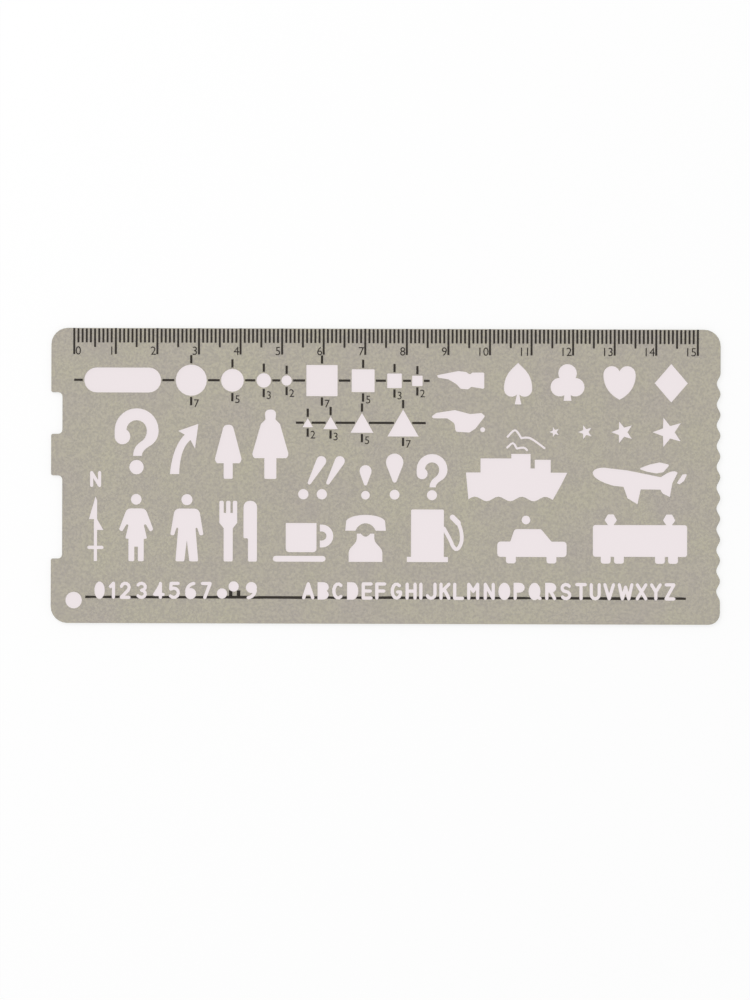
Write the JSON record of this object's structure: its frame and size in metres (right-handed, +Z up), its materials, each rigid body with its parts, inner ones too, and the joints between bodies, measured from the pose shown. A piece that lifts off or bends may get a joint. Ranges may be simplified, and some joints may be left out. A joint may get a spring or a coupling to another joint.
{
  "type": "template ruler",
  "caption": "Flat see-through drawing template with a centimetre scale, cut-out shapes, pictograms, digits and letters to trace, and a wavy edge.",
  "frame": {"origin": "middle of the sheet's outline, on the back face", "axes": "+X along the scale from zero upwards, +Y towards the scale edge, +Z up out of the printed face"},
  "size_m": [0.161, 0.071, 0.0008],
  "materials": {
    "sheet_plastic": "smoke-tinted translucent sheet with satin faces and bright cut edges",
    "print_ink": "dark screen print"
  },
  "bodies": {
    "root": {"template_sheet": "sheet_plastic", "shape_axis_1": "print_ink", "shape_axis_2": "print_ink", "shape_axis_3": "print_ink", "shape_axis_4": "print_ink", "shape_axis_5": "print_ink", "shape_axis_6": "print_ink", "shape_axis_7": "print_ink", "shape_axis_8": "print_ink", "shape_axis_9": "print_ink", "shape_axis_10": "print_ink", "shape_index_above_1": "print_ink", "shape_index_above_2": "print_ink", "shape_index_above_3": "print_ink", "shape_index_above_4": "print_ink", "shape_index_above_5": "print_ink", "shape_index_above_6": "print_ink", "shape_index_above_7": "print_ink", "shape_index_above_8": "print_ink", "shape_index_below_1": "print_ink", "shape_index_below_2": "print_ink", "shape_index_below_3": "print_ink", "shape_index_below_4": "print_ink", "shape_index_below_5": "print_ink", "shape_index_below_6": "print_ink", "shape_index_below_7": "print_ink", "shape_index_below_8": "print_ink", "triangle_axis_1": "print_ink", "triangle_axis_2": "print_ink", "triangle_axis_3": "print_ink", "triangle_axis_4": "print_ink", "triangle_axis_5": "print_ink", "triangle_index_above_1": "print_ink", "triangle_index_above_2": "print_ink", "triangle_index_above_3": "print_ink", "triangle_index_above_4": "print_ink", "triangle_index_below_1": "print_ink", "triangle_index_below_2": "print_ink", "triangle_index_below_3": "print_ink", "triangle_index_below_4": "print_ink", "centimetre_mark_0": "print_ink", "centimetre_mark_1": "print_ink", "centimetre_mark_2": "print_ink", "centimetre_mark_3": "print_ink", "centimetre_mark_4": "print_ink", "centimetre_mark_5": "print_ink", "centimetre_mark_6": "print_ink", "centimetre_mark_7": "print_ink", "centimetre_mark_8": "print_ink", "centimetre_mark_9": "print_ink", "centimetre_mark_10": "print_ink", "centimetre_mark_11": "print_ink", "centimetre_mark_12": "print_ink", "centimetre_mark_13": "print_ink", "centimetre_mark_14": "print_ink", "centimetre_mark_15": "print_ink"}
  },
  "joints": []
}
